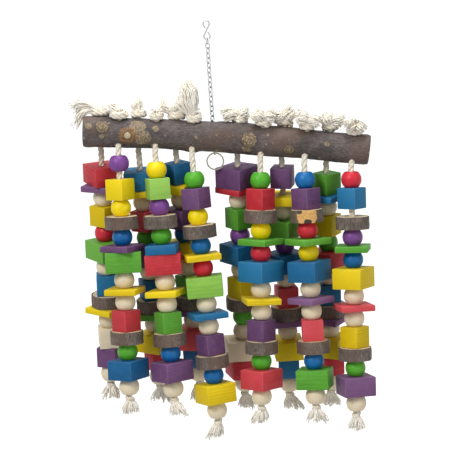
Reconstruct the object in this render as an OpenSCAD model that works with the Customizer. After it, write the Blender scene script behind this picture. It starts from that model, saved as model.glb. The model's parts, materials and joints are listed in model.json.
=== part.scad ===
// Hanging chew toy for a large cage bird: twelve strings of drilled wooden pieces under a barked log.
// The origin is the inside top of the hook, where it hangs. X runs along the log, Y into the view, Z up.

/* [Hook] */
// Wire of the hook
hook_wire_d = 1.4; // [1.2:0.1:2]
// Outer width of each loop of the hook
hook_w = 7.4; // [7:0.2:9]
// Outer height of the hook
hook_h = 19.6; // [18:0.2:24]
// Gap left between each closed end of the hook and its shank
hook_end_gap = 0.3; // [0.2:0.1:0.8]

/* [Chain] */
// Wire of a chain link
link_wire_d = 1.1; // [0.9:0.1:1.2]
// Outer width of a chain link
link_w = 5.1; // [4.8:0.1:5.6]
// Distance from one link to the next along the chain
link_pitch = 4.7; // [4.5:0.1:5]
// Links that pass through the log
links_held = 7; // [7:1:8]
// How far the end links turn to stand more squarely across the hook and the ring
chain_twist = 27; // [24:1:36]

/* [Split ring] */
// Outer diameter of the split ring under the log
ring_d = 17.5; // [16:0.5:25]
// Width of the ring's flattened wire, measured along its radius
ring_wire_w = 1.4; // [1:0.1:1.8]
// Thickness of one turn of the ring
ring_wire_t = 0.7; // [0.5:0.1:0.9]
// Length of the gap where each turn of the ring ends
ring_end_gap = 2.2; // [1.5:0.1:3]

/* [Log] */
// Length of the log to the left of the chain
log_left = 127; // [124:1:135]
// Length of the log to the right of the chain
log_right = 152; // [149:1:160]
// Mean diameter of the log over its bark
log_d = 30; // [28:0.5:33]
// How far the middle of the naturally bowed log stands above a line between its ends
log_bow = 3.4; // [2:0.2:6]
// Rounding at the log's sawn ends
log_end_round = 2.5; // [1:0.5:4]
// Tilt of the log, right end down, as its uneven load hangs it
log_tilt = 7; // [5:0.5:8]
// How far the bark is broken back at the sawn ends
bark_step = 0.3; // [0.2:0.1:1]
// Bore that the chain passes through
chain_bore_d = 8.6; // [8.4:0.2:10]

/* [Rope] */
// Diameter of the twisted cotton rope
rope_d = 6; // [5:0.5:6.5]
// How far the rope bores leave the log in front of or behind its middle
rope_exit_y = 10.5; // [9:0.5:11]
// How far the knots stand in front of or behind the log's middle
rope_top_y = 3; // [2.5:0.5:4]
// How much further out a string stands at its lower end
splay = 20; // [14:1:24]
// Width of a knot, measured to the middle of its wrap
knot_wrap_d = 7.6; // [7:0.2:8]
// Length of the frayed end below a string
tassel_l = 18; // [12:1:24]
// Width of the frayed end at its tip
tassel_d = 12; // [8:1:15]

/* [Wooden pieces] */
// Diameter of a bead
bead_d = 20; // [18:0.5:21]
// Height of a bead between its flats
bead_h = 15.5; // [14:0.5:17]
// Side of a cube
cube_s = 20.5; // [18:0.5:21]
// Length of a block
block_l = 32; // [28:1:33]
// Width of a block
block_w = 28; // [24:1:29]
// Height of a block
block_h = 19; // [16:1:21]
// Length of a large block
slab_l = 35; // [31:1:36]
// Width of a large block
slab_w = 30; // [26:1:31]
// Height of a large block
slab_h = 20; // [17:1:22]
// Length of a plate
plate_l = 34; // [30:1:35]
// Width of a plate
plate_w = 32; // [28:1:33]
// Thickness of a plate
plate_t = 6; // [4:0.5:8]
// Length of a thick board
board_l = 33; // [29:1:34]
// Width of a thick board
board_w = 30; // [26:1:31]
// Thickness of a thick board
board_t = 9; // [8:0.5:11]
// Diameter of a slice sawn from a branch
slice_d = 33; // [29:1:34]
// Thickness of a slice
slice_t = 12.5; // [10:0.5:14]
// Rounding of the upright edges of the sawn pieces
edge_r = 0.8; // [0.4:0.2:1.5]
// Bare rope left showing between two pieces
bare_h = 7; // [4:1:10]

/* [Fits] */
// Gap between the wires of two links that hang in each other
link_gap = 0.15; // [0.1:0.05:0.25]
// Gap between the top link's wire and the hook's wire
hook_gap = 0.3; // [0.25:0.05:0.5]
// Gap between the ring and what it bears on
ring_gap = 0.3; // [0.2:0.05:0.5]
// Gap all round a rope in the bore of a wooden piece or of the log
bore_gap = 0.5; // [0.3:0.1:0.8]
// Gap between one piece of a string and the next
stack_gap = 0.2; // [0.1:0.05:0.4]
// Gap between the upper rope and the rounded top of the string that swings under it
swing_gap = 0.3; // [0.2:0.05:0.5]
// Height of each string's swing point below the log's lowest line
swing_drop = 2; // [2:0.5:4]

/* [Hidden] */
$fn = 48;

// The paints and the bare materials
RED = "#c8303c";
YELLOW = "#e6cf00";
GREEN = "#5cae32";
LIME = "#8fc24a";
BLUE = "#0a66ac";
PURPLE = "#6b3d78";
PLAIN = "#dfceac";
BARK = "#6a5a50";
ROPE = "#e9dfca";
STEEL = "#c4c6c8";

// Each kind of wooden piece: its name and its height along the string
HEIGHTS = [
    ["bead", bead_h], ["cube", cube_s], ["block", block_h], ["slab", slab_h],
    ["plate", plate_t], ["board", board_t], ["slice", slice_t], ["bare", bare_h]
];

// Each string from left to right: place along the log, sideways lean over its length, side of the log
// (-1 front, 1 back), rope showing above its first piece, sideways lean of its tassel in degrees, and its
// pieces from the top as kind, colour and turn in degrees
STRINGS = [
    [-111, -10, 1, 17, 4, [
        ["block", RED, 119], ["plate", PURPLE, 68], ["bead", PLAIN, 0], ["cube", YELLOW, 53],
        ["bead", RED, 0], ["block", GREEN, 128], ["bead", PLAIN, 0], ["cube", BLUE, 5],
        ["slice", BARK, 0], ["plate", YELLOW, 55], ["bead", PLAIN, 0], ["cube", PLAIN, 10],
        ["cube", PURPLE, 70], ["bead", PLAIN, 0]]],
    [-92, -5, -1, 4, -2, [
        ["bead", PURPLE, 0], ["bare", ROPE, 0], ["cube", YELLOW, 56], ["bead", YELLOW, 0],
        ["slice", BARK, 0], ["bead", BLUE, 0], ["plate", PURPLE, 61], ["slab", GREEN, 184],
        ["bead", PLAIN, 0], ["plate", YELLOW, 77], ["bead", PLAIN, 0], ["cube", RED, 45],
        ["slice", BARK, 0], ["bead", GREEN, 0], ["block", BLUE, 60], ["bead", PLAIN, 0]]],
    [-74, 3, 1, 21, 2, [
        ["block", BLUE, 0], ["plate", YELLOW, 90], ["bead", PLAIN, 0], ["cube", RED, 56],
        ["bead", GREEN, 0], ["block", PURPLE, 7], ["bead", PLAIN, 0], ["cube", BLUE, 20],
        ["slice", BARK, 0], ["plate", GREEN, 86], ["bead", PLAIN, 0], ["block", YELLOW, 57],
        ["cube", RED, 30], ["bead", PLAIN, 0]]],
    [-56, 3, -1, 9, 14, [
        ["bead", YELLOW, 0], ["cube", LIME, 17], ["bead", PURPLE, 0], ["slice", BARK, 0],
        ["bead", GREEN, 0], ["board", BLUE, 86], ["slab", RED, 180], ["bead", PLAIN, 0],
        ["plate", YELLOW, 74], ["bead", PLAIN, 0], ["cube", GREEN, 30], ["slice", BARK, 0],
        ["bead", BLUE, 0], ["block", PURPLE, 40], ["bead", PLAIN, 0]]],
    [-37, 7, 1, 12, -4, [
        ["cube", BLUE, 35], ["board", YELLOW, 64], ["bead", PLAIN, 0], ["block", PURPLE, 49],
        ["bead", BLUE, 0], ["block", YELLOW, 2], ["bead", PLAIN, 0], ["cube", GREEN, 40],
        ["slice", BARK, 0], ["plate", PURPLE, 0], ["bead", PLAIN, 0], ["slab", RED, 75],
        ["cube", BLUE, 50], ["bead", PLAIN, 0]]],
    [-20, 9, -1, 17, -14, [
        ["bead", GREEN, 0], ["cube", PURPLE, 56], ["bead", YELLOW, 0], ["slice", BARK, 0],
        ["bead", BLUE, 0], ["plate", YELLOW, 11], ["bead", RED, 0], ["slab", LIME, 2],
        ["bead", PLAIN, 0], ["plate", BLUE, 18], ["bead", PLAIN, 0], ["cube", PURPLE, 36],
        ["slice", BARK, 0], ["bead", BLUE, 0], ["block", YELLOW, 31], ["bead", PLAIN, 0]]],
    [24, -8, 1, 12, 6, [
        ["slab", PURPLE, 54], ["plate", RED, 48], ["bead", PLAIN, 0], ["cube", GREEN, 39],
        ["bead", PURPLE, 0], ["block", BLUE, 42], ["bead", PLAIN, 0], ["cube", YELLOW, 43],
        ["slice", BARK, 0], ["bead", GREEN, 0], ["bead", PLAIN, 0], ["slab", PLAIN, 10],
        ["block", RED, 20], ["bead", PLAIN, 0]]],
    [47, -13, -1, 13, -14, [
        ["bead", GREEN, 0], ["cube", RED, 52], ["slice", BARK, 0], ["bead", YELLOW, 0],
        ["plate", GREEN, 56], ["bead", RED, 0], ["slab", BLUE, 52], ["bead", PLAIN, 0],
        ["plate", YELLOW, 12], ["bead", PLAIN, 0], ["cube", PURPLE, 52], ["slice", BARK, 0],
        ["bead", GREEN, 0], ["block", RED, 52], ["bead", PLAIN, 0]]],
    [68, -6, 1, 9, 14, [
        ["cube", PURPLE, 78], ["bare", ROPE, 0], ["board", YELLOW, 80], ["bead", PLAIN, 0],
        ["block", GREEN, 60], ["bead", PURPLE, 0], ["block", BLUE, 35], ["bead", PLAIN, 0],
        ["cube", RED, 14], ["slice", BARK, 0], ["plate", PURPLE, 10], ["bead", PLAIN, 0],
        ["block", YELLOW, 95], ["cube", BLUE, 2], ["bead", PLAIN, 0]]],
    [90, -2, -1, 9, 6, [
        ["bead", BLUE, 0], ["cube", PURPLE, 48], ["slice", BARK, 0], ["bead", RED, 0],
        ["plate", GREEN, 37], ["bead", YELLOW, 0], ["slab", BLUE, 61], ["bead", PLAIN, 0],
        ["plate", PURPLE, 48], ["bead", PLAIN, 0], ["cube", RED, 3], ["slice", BARK, 0],
        ["bead", BLUE, 0], ["block", GREEN, 167], ["bead", PLAIN, 0]]],
    [112, -7, 1, 11, 0, [
        ["cube", GREEN, 42], ["plate", BLUE, 54], ["bead", PLAIN, 0], ["cube", YELLOW, 60],
        ["bead", GREEN, 0], ["block", RED, 55], ["bead", PLAIN, 0], ["cube", BLUE, 10],
        ["slice", BARK, 0], ["plate", PURPLE, 60], ["bead", PLAIN, 0], ["block", YELLOW, 70],
        ["cube", RED, 30], ["bead", PLAIN, 0]]],
    [136, -8, -1, 4, 0, [
        ["bead", RED, 0], ["cube", BLUE, 54], ["bare", ROPE, 0], ["slice", BARK, 0], ["bead", PURPLE, 0],
        ["plate", GREEN, 82], ["bead", BLUE, 0], ["slab", YELLOW, 64], ["bead", PLAIN, 0],
        ["plate", RED, 14], ["bead", PLAIN, 0], ["cube", YELLOW, 50], ["slice", BARK, 0],
        ["bead", GREEN, 0], ["block", PURPLE, 18], ["bead", PLAIN, 0]]]
];

// The frayed end above each knot: points measured from the knot along X, Y and Z, each with its radius
TUFTS = [
    [[0, 0, 0, 3], [-9, -1, 7, 5], [-20, -2, 4, 5.5], [-27, -3, -11, 3.5]],
    [[0, 0, 0, 3], [-4, 0, 7, 4.5], [-7, 0, 11, 3.5]],
    [[0, 0, 0, 3], [-1, 0, 8, 4.5], [-2, 0, 14, 3]],
    [[0, 0, 0, 3], [2, -2, 4, 3.5]],
    [[0, 0, 0, 3], [-5, 0, 9, 5], [-11, 0, 16, 3.5]],
    [[0, 0, 0, 3], [-3, -1, 14, 6.5], [-3, -1, 26, 5.5], [-6, -1, 38, 2.5]],
    [[0, 0, 0, 3], [-6, -3, 6, 5], [-13, -4, 5, 3.5]],
    [[0, 0, 0, 3], [-3, -4, 7, 5.5], [-6, -5, 12, 3.5]],
    [[0, 0, 0, 3], [2, -4, 7, 5.5], [7, -5, 10, 3.5]],
    [[0, 0, 0, 3], [-4, -4, 7, 5], [-7, -6, 11, 3.5]],
    [[0, 0, 0, 3], [-2, -4, 7, 5.5], [4, -6, 11, 3.5]],
    [[0, 0, 0, 3], [-3, -5, 7, 5], [-5, -9, 4, 4]]
];

// Stubs and scars on the bark: place along the log, turn round it from the top towards the front, radius
SCARS = [[-108, 62, 4], [-83, 92, 7], [35, 84, 6.5], [74, 112, 4.5], [-18, 168, 7], [5, 150, 4]];

string_count = len(STRINGS);
links_free = 17;

// Heights along the chain, all measured at the middle of a wire
hook_r = (hook_w - hook_wire_d) / 2;
hook_top_z = hook_wire_d / 2;
hook_upper_z = hook_top_z - hook_r;
hook_reach = hook_h / 2 - hook_wire_d / 2 - hook_r;
hook_waist_z = hook_upper_z - hook_reach;
hook_bottom_z = hook_waist_z - hook_reach - hook_r;
hook_angle = asin(hook_r / hook_reach);
hook_leg = sqrt(hook_reach ^ 2 - hook_r ^ 2);
hook_end_cut = (hook_wire_d + hook_end_gap) / sin(2 * hook_angle);

link_seat = link_wire_d + link_gap;
link_crowns = link_pitch + link_seat;
link_bend_r = (link_w - link_wire_d) / 2;
first_link_z = hook_bottom_z + (hook_wire_d + link_wire_d) / 2 + hook_gap;
links_all = links_free + links_held;

function link_top_z(n) = first_link_z - (n - 1) * link_pitch;

// The chain twists a little at its ends, where its links stand more squarely across the hook and the ring
function end_twist(steps) = chain_twist * max(0, 1 - steps / 3);
function link_turn(n) = (n % 2 == 1 ? 45 : -45)
    + end_twist(n - 1)
    + (links_all % 2 == 1 ? 1 : -1) * end_twist(links_all - n);

// Parts that run into each other differ by this hair, so that they join cleanly
hair = 0.02;

// The log bears on the ring, and the ring hangs in the last link
ring_r = (ring_d - ring_wire_w) / 2;
ring_top_z = link_top_z(links_all) - link_crowns + (link_wire_d + ring_wire_w) / 2 + ring_gap;
ring_z = ring_top_z - ring_r;
log_r = log_d / 2;
log_z = ring_top_z + ring_wire_w / 2 + ring_gap + log_r / cos(log_tilt);
log_bend_r = (log_left + log_right) ^ 2 / (8 * log_bow);
function bend_angle(s) = s / log_bend_r * 180 / PI;

// The swing point of a string, below the log
swing_w = -(log_r + swing_drop);
function side(i) = STRINGS[i][2];
function from_chain(x, y, z) = [
    x * cos(log_tilt) + z * sin(log_tilt),
    y,
    log_z - x * sin(log_tilt) + z * cos(log_tilt)
];
function swing_point(i) = let (a = bend_angle(STRINGS[i][0]), r = log_bend_r + swing_w)
    from_chain(r * sin(a), side(i) * rope_exit_y, r * cos(a) - log_bend_r);
bore_slant = atan((rope_exit_y - rope_top_y) / (log_r - swing_w));
bore_run = (log_r - swing_w) / cos(bore_slant);

rope_r = rope_d / 2;
piece_bore_d = rope_d + 2 * bore_gap;
knot_h = 2 * rope_d;

function height(kind) = HEIGHTS[search([kind], HEIGHTS)[0]][1];
function depth(list, k) = k == 0 ? 0 : depth(list, k - 1) + height(list[k - 1][0]) + stack_gap;
function pieces(i) = STRINGS[i][5];
function string_top(i) = STRINGS[i][3];
function string_l(i) = string_top(i) + depth(pieces(i), len(pieces(i)));

function two(n) = n < 10 ? str("0", n) : str(n);

// Half of the hook: a bend and the leg that ends beside the shank
module hook_half() {
    translate([0, 0, hook_reach])
        rotate([90, 0, 0])
            rotate([0, 0, -hook_angle])
                rotate_extrude(angle = 180 + 2 * hook_angle)
                    translate([hook_r, 0]) circle(d = hook_wire_d);
    rotate([0, -hook_angle, 0])
        translate([0, 0, hook_end_cut])
            cylinder(d = hook_wire_d - hair, h = hook_leg - hook_end_cut + 0.1);
}

module hook() {
    color(STEEL) translate([0, 0, hook_waist_z]) {
        hook_half();
        rotate([0, 180, 0]) hook_half();
        rotate([0, hook_angle, 0])
            cylinder(d = hook_wire_d - hair, h = 2 * hook_leg + 0.2, center = true);
    }
}

// One link, hanging from the middle of its upper wire
module chain_link() {
    leg = link_crowns - 2 * link_bend_r;
    for (end = [0, 1])
        translate([0, 0, -link_bend_r - end * leg])
            rotate([90, end * 180, 0])
                rotate_extrude(angle = 180) translate([link_bend_r, 0]) circle(d = link_wire_d);
    for (x = [-link_bend_r, link_bend_r])
        translate([x, 0, -link_bend_r - leg]) cylinder(d = link_wire_d, h = leg);
}

module link_in_chain(n) {
    color(STEEL) translate([0, 0, link_top_z(n)]) rotate([0, 0, link_turn(n)]) chain_link();
}

module chain_in_log() {
    for (n = [links_free + 1:links_all]) link_in_chain(n);
}

// Two turns of flattened wire side by side, each with its end gap, joined near the bottom
module split_ring() {
    gap_angle = ring_end_gap / ring_r * 180 / PI;
    color(STEEL) translate([0, 0, ring_z]) rotate([90, 0, 0])
        for (turn = [0, 1])
            translate([0, 0, (turn - 1) * ring_wire_t])
                rotate([0, 0, -90 + (turn - 0.5) * gap_angle * 1.4 + gap_angle / 2])
                    rotate_extrude(angle = 360 - gap_angle)
                        translate([ring_r - ring_wire_w / 2, 0]) square([ring_wire_w, ring_wire_t]);
}

// Places the log's cross-section at a distance from the chain measured along the bowed log
module at_log(s) {
    translate([0, 0, -log_bend_r])
        rotate([0, bend_angle(s), 0])
            translate([0, 0, log_bend_r])
                children();
}

// The bowed log between its rounded ends, or a body a little larger than it
module log_arc(grow = 0) {
    from = -log_left + log_end_round;
    to = log_right - log_end_round;
    translate([0, 0, -log_bend_r])
        rotate([90, 0, 0])
            rotate([0, 0, 90 - bend_angle(to)])
                rotate_extrude(angle = bend_angle(to) - bend_angle(from), $fn = 2400)
                    translate([log_bend_r, 0]) circle(r = log_r + grow, $fn = 48);
}

// One sawn end of the log, its bark broken back a little at the rim
module log_end() {
    e = log_end_round;
    r = log_r - bark_step;
    rotate_extrude()
        polygon([[0, -1], [r, -1], [r, 0], [r - 0.3 * e, 0.7 * e], [r - e, e], [0, e]]);
}

module scar(place) {
    at_log(place[0])
        rotate([place[1], 0, 0])
            translate([0, 0, log_r - place[2] * 0.6])
                sphere(r = place[2]);
}

// Everything round the log is laid out from the chain's place on its axis
module in_log_frame() {
    translate([0, 0, log_z]) rotate([0, log_tilt, 0]) children();
}

// A string's bore, from its lower end at the swing point upwards
module rope_bore_line(i) {
    at_log(STRINGS[i][0])
        translate([0, side(i) * rope_exit_y, swing_w])
            rotate([side(i) * bore_slant, 0, 0])
                children();
}

module log() {
    color(BARK) in_log_frame() difference() {
        union() {
            log_arc();
            at_log(-log_left + log_end_round) rotate([0, -90, 0]) log_end();
            at_log(log_right - log_end_round) rotate([0, 90, 0]) log_end();
            for (place = SCARS) scar(place);
        }
        cylinder(d = chain_bore_d, h = 3 * log_d, center = true);
        for (i = [0:string_count - 1])
            rope_bore_line(i)
                translate([0, 0, -log_r])
                    cylinder(d = piece_bore_d, h = 4 * log_d);
    }
}

// A bunch of fibres from one point to the next, thickest past its middle
module bunch(from, to) {
    run = [for (c = [0:2]) to[c] - from[c]];
    l = norm(run);
    belly = max(from[3], to[3]);
    translate([from[0], from[1], from[2]])
        rotate([0, acos(run[2] / l), atan2(run[1], run[0])])
            rotate_extrude()
                polygon([
                    [0, -0.5], [0.7 * from[3], -0.5], [belly, 0.6 * l], [to[3], l + 0.5], [0, l + 0.5 * to[3]]
                ]);
}

// The rope in the log, cupped round the swinging string's rounded top, up into the knot
module rope_in_bore() {
    rotate_extrude()
        difference() {
            square([rope_r - hair, bore_run + knot_h * 0.6]);
            circle(r = rope_r + swing_gap);
        }
}

// Two wraps of rope round the rope
module knot() {
    rotate_extrude()
        intersection() {
            union() {
                translate([knot_wrap_d / 2, 0.6 * rope_r]) circle(r = rope_r);
                translate([knot_wrap_d / 2 - 0.4, 2.1 * rope_r]) circle(r = rope_r);
                square([knot_wrap_d / 2, knot_h - rope_r]);
            }
            translate([0, -rope_d]) square(4 * rope_d);
        }
}

// The knot that holds a string on top of the log and the frayed end above it, clear of the bark
module rope_top(i) {
    points = TUFTS[i];
    rope_bore_line(i) rope_in_bore();
    difference() {
        union() {
            rope_bore_line(i) translate([0, 0, bore_run]) knot();
            at_log(STRINGS[i][0])
                translate([0, side(i) * rope_top_y, log_r + knot_h * 0.5])
                    rotate([0, -log_tilt, 0])
                        for (k = [1:len(points) - 1]) bunch(points[k - 1], points[k]);
        }
        log_arc(swing_gap);
    }
}

module rope_knots() {
    color(ROPE) in_log_frame()
        for (i = [0:string_count - 1]) rope_top(i);
}

// A string hangs from its swing point, leaning sideways and outwards
module on_string(i) {
    l = string_l(i);
    translate(swing_point(i))
        rotate([side(i) * atan(splay / l), -atan(STRINGS[i][1] / l), 0])
            children();
}

// The rope through a string, with the knot under its last bead and the frayed end
module rope(i) {
    l = string_l(i);
    knot_z = -l - rope_r - stack_gap;
    color(ROPE) on_string(i) {
        rotate_extrude()
            intersection() {
                union() {
                    circle(r = rope_r);
                    translate([0, knot_z]) square([rope_r, -knot_z]);
                    translate([0.75 * rope_r, knot_z]) circle(r = rope_r);
                }
                translate([0, -2 * l]) square(3 * l);
            }
        translate([0, 0, knot_z])
            rotate([0, -STRINGS[i][4], 0])
                translate([0, 0, -tassel_l])
                    cylinder(r1 = tassel_d / 2, r2 = rope_r - hair, h = tassel_l);
    }
}

module bored(h) {
    difference() {
        children();
        translate([0, 0, -h]) cylinder(d = piece_bore_d, h = 3 * h);
    }
}

// A turned bead with a flat at each end of its bore
module bead() {
    bored(bead_h) intersection() {
        translate([0, 0, bead_h / 2]) sphere(d = bead_d);
        translate([-bead_d, -bead_d, 0]) cube([2 * bead_d, 2 * bead_d, bead_h]);
    }
}

// A sawn piece with eased upright edges
module sawn(l, w, h) {
    bored(h) linear_extrude(h) {
        square([l - 2 * edge_r, w], center = true);
        square([l, w - 2 * edge_r], center = true);
        for (x = [-1, 1], y = [-1, 1])
            translate([x * (l / 2 - edge_r), y * (w / 2 - edge_r)]) circle(r = edge_r);
    }
}

// A slice of a branch, slightly fuller on one side
module slice() {
    bored(slice_t) {
        cylinder(d = slice_d, h = slice_t);
        translate([slice_d * 0.04, slice_d * 0.02, 0]) cylinder(d = slice_d * 0.97, h = slice_t);
    }
}

module wooden_piece(kind) {
    if (kind == "bead") bead();
    if (kind == "cube") sawn(cube_s, cube_s, cube_s);
    if (kind == "block") sawn(block_l, block_w, block_h);
    if (kind == "slab") sawn(slab_l, slab_w, slab_h);
    if (kind == "plate") sawn(plate_l, plate_w, plate_t);
    if (kind == "board") sawn(board_l, board_w, board_t);
    if (kind == "slice") slice();
}

// The pieces of one string that are beads, or all the others
module threaded(i, beads) {
    list = pieces(i);
    on_string(i)
        for (k = [0:len(list) - 1])
            if ((list[k][0] == "bead") == beads)
                translate([0, 0, -string_top(i) - depth(list, k) - height(list[k][0])])
                    rotate([0, 0, list[k][2]])
                        color(list[k][1]) wooden_piece(list[k][0]);
}

module beads(i) {
    threaded(i, true);
}

module blocks(i) {
    threaded(i, false);
}

hook();
chain_in_log();
split_ring();
log();
rope_knots();
for (n = [1:links_free]) link_in_chain(n);
for (i = [1:string_count]) rope(i - 1);
for (i = [1:string_count]) beads(i - 1);
for (i = [1:string_count]) blocks(i - 1);
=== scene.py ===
import json
import math
import random
from collections import namedtuple

import bpy
import numpy as np
from mathutils import Matrix, Vector


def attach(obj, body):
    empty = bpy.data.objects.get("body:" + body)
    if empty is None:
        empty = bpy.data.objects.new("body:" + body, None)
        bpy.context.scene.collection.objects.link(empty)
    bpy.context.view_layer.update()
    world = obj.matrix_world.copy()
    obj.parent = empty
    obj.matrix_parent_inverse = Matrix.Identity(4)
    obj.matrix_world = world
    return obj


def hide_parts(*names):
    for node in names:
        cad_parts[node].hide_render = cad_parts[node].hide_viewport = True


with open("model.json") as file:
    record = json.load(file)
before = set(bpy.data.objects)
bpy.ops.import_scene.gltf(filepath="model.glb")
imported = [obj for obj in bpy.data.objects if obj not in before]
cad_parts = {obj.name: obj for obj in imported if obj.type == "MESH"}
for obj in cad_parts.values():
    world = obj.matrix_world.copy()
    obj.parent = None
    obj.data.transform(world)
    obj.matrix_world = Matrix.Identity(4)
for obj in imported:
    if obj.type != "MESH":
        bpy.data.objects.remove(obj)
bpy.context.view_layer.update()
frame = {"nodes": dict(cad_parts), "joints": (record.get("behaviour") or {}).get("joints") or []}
MM = 0.001

# Sizes in millimetres, as in the part's source
HEIGHTS = {
    "bead": 15.5, "cube": 20.5, "block": 19, "slab": 20, "plate": 6, "board": 9, "slice": 12.5, "bare": 7}
SAWN = {"cube": (20.5, 20.5), "block": (32, 28), "slab": (35, 30), "plate": (34, 32), "board": (33, 30)}
BEAD_D = 20
SLICE_D = 33
STACK_GAP = 0.2
BORE_R, CHAIN_BORE_R = 3.5, 4.3
ROPE_R = 3
LOG_R, LOG_LEFT, LOG_RIGHT, LOG_BOW, LOG_TILT = 15, 127, 152, 3.4, math.radians(7)
SWING_DROP, EXIT_Y, TOP_Y, SPLAY = 2, 10.5, 3, 20
TASSEL_L, CLUMPS = 18, 10

# Each string from left to right: place along the log, lean, side of the log (-1 front, 1 back), rope above
# its first piece, lean of its tassel, and its pieces from the top as kind, dye and turn
HungString = namedtuple("HungString", "place lean side top tassel pieces")
STRINGS = [HungString(*values) for values in (
    (-111, -10, 1, 17, 4, [
        "block red 119", "plate purple 68", "bead plain 0", "cube yellow 53", "bead red 0", "block green 128",
        "bead plain 0", "cube blue 5", "slice bark 0", "plate yellow 55", "bead plain 0", "cube plain 10",
        "cube purple 70", "bead plain 0"]),
    (-92, -5, -1, 4, -2, [
        "bead purple 0", "bare rope 0", "cube yellow 56", "bead yellow 0", "slice bark 0", "bead blue 0",
        "plate purple 61", "slab green 184", "bead plain 0", "plate yellow 77", "bead plain 0", "cube red 45",
        "slice bark 0", "bead green 0", "block blue 60", "bead plain 0"]),
    (-74, 3, 1, 21, 2, [
        "block blue 0", "plate yellow 90", "bead plain 0", "cube red 56", "bead green 0", "block purple 7",
        "bead plain 0", "cube blue 20", "slice bark 0", "plate green 86", "bead plain 0", "block yellow 57",
        "cube red 30", "bead plain 0"]),
    (-56, 3, -1, 9, 14, [
        "bead yellow 0", "cube lime 17", "bead purple 0", "slice bark 0", "bead green 0", "board blue 86",
        "slab red 180", "bead plain 0", "plate yellow 74", "bead plain 0", "cube green 30", "slice bark 0",
        "bead blue 0", "block purple 40", "bead plain 0"]),
    (-37, 7, 1, 12, -4, [
        "cube blue 35", "board yellow 64", "bead plain 0", "block purple 49", "bead blue 0", "block yellow 2",
        "bead plain 0", "cube green 40", "slice bark 0", "plate purple 0", "bead plain 0", "slab red 75",
        "cube blue 50", "bead plain 0"]),
    (-20, 9, -1, 17, -14, [
        "bead green 0", "cube purple 56", "bead yellow 0", "slice bark 0", "bead blue 0", "plate yellow 11",
        "bead red 0", "slab lime 2", "bead plain 0", "plate blue 18", "bead plain 0", "cube purple 36",
        "slice bark 0", "bead blue 0", "block yellow 31", "bead plain 0"]),
    (24, -8, 1, 12, 6, [
        "slab purple 54", "plate red 48", "bead plain 0", "cube green 39", "bead purple 0", "block blue 42",
        "bead plain 0", "cube yellow 43", "slice bark 0", "bead green 0", "bead plain 0", "slab plain 10",
        "block red 20", "bead plain 0"]),
    (47, -13, -1, 13, -14, [
        "bead green 0", "cube red 52", "slice bark 0", "bead yellow 0", "plate green 56", "bead red 0",
        "slab blue 52", "bead plain 0", "plate yellow 12", "bead plain 0", "cube purple 52", "slice bark 0",
        "bead green 0", "block red 52", "bead plain 0"]),
    (68, -6, 1, 9, 14, [
        "cube purple 78", "bare rope 0", "board yellow 80", "bead plain 0", "block green 60", "bead purple 0",
        "block blue 35", "bead plain 0", "cube red 14", "slice bark 0", "plate purple 10", "bead plain 0",
        "block yellow 95", "cube blue 2", "bead plain 0"]),
    (90, -2, -1, 9, 6, [
        "bead blue 0", "cube purple 48", "slice bark 0", "bead red 0", "plate green 37", "bead yellow 0",
        "slab blue 61", "bead plain 0", "plate purple 48", "bead plain 0", "cube red 3", "slice bark 0",
        "bead blue 0", "block green 167", "bead plain 0"]),
    (112, -7, 1, 11, 0, [
        "cube green 42", "plate blue 54", "bead plain 0", "cube yellow 60", "bead green 0", "block red 55",
        "bead plain 0", "cube blue 10", "slice bark 0", "plate purple 60", "bead plain 0", "block yellow 70",
        "cube red 30", "bead plain 0"]),
    (136, -8, -1, 4, 0, [
        "bead red 0", "cube blue 54", "bare rope 0", "slice bark 0", "bead purple 0", "plate green 82",
        "bead blue 0", "slab yellow 64", "bead plain 0", "plate red 14", "bead plain 0", "cube yellow 50",
        "slice bark 0", "bead green 0", "block purple 18", "bead plain 0"]),
)]

# Frayed ends on top of the log, each as bunches: points from the knot with half widths, and how many yarns
TUFTS = [
    [([(0, 0, 0, 3), (-9, -1, 6, 4.5), (-19, -2, 8, 5.5), (-29, -3, 5, 6)], 90),
     ([(0, 0, 0, 3), (-9, -2, 3, 3.5), (-19, -4, -1, 4), (-27, -5, -15, 4)], 60)],
    [([(0, 0, 0, 3), (-5, 0, 5, 5), (-12, 0, 9, 5)], 70)],
    [([(0, 0, 0, 3), (-1, 0, 7, 6), (-3, 0, 14, 5.5)], 80)],
    [([(0, 0, -1, 3), (3, -2, 3, 4)], 30)],
    [([(0, 0, 0, 3), (-8, 0, 6, 5), (-18, 0, 13, 5.5)], 80),
     ([(0, 0, 0, 3), (-3, 0, 5, 7), (-5, 0, 11, 6)], 70)],
    [([(0, 0, 0, 3), (-3, -1, 13, 9), (-4, -1, 25, 9), (-8, -1, 38, 6)], 230),
     ([(0, 0, 0, 3), (-9, -1, 9, 4.5), (-17, -1, 20, 4)], 60)],
    [([(0, 0, 0, 3), (-8, -3, 5, 6), (-17, -4, 2, 5)], 90),
     ([(0, 0, 0, 3), (4, -3, 5, 5), (10, -4, 6, 5)], 60)],
    [([(0, 0, 0, 3), (-4, -4, 6, 6), (-9, -5, 11, 5)], 80),
     ([(0, 0, 0, 3), (6, -4, 5, 5.5), (13, -6, 3, 5)], 70)],
    [([(0, 0, 0, 3), (3, -4, 7, 6), (10, -5, 12, 5.5)], 90),
     ([(0, 0, 0, 3), (-6, -4, 5, 5), (-12, -6, 4, 5)], 60)],
    [([(0, 0, 0, 3), (-5, -4, 7, 6), (-11, -6, 9, 5.5)], 90),
     ([(0, 0, 0, 3), (5, -5, 4, 5), (12, -8, 2, 5)], 70)],
    [([(0, 0, 0, 3), (-3, -4, 7, 6), (-5, -6, 12, 5)], 80),
     ([(0, 0, 0, 3), (7, -4, 5, 5.5), (14, -6, 4, 5)], 70)],
    [([(0, 0, 0, 3), (-4, -5, 6, 6), (-10, -9, 3, 5)], 80),
     ([(0, 0, 0, 3), (3, -4, 4, 5), (9, -6, -2, 4.5)], 60)],
]

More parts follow.
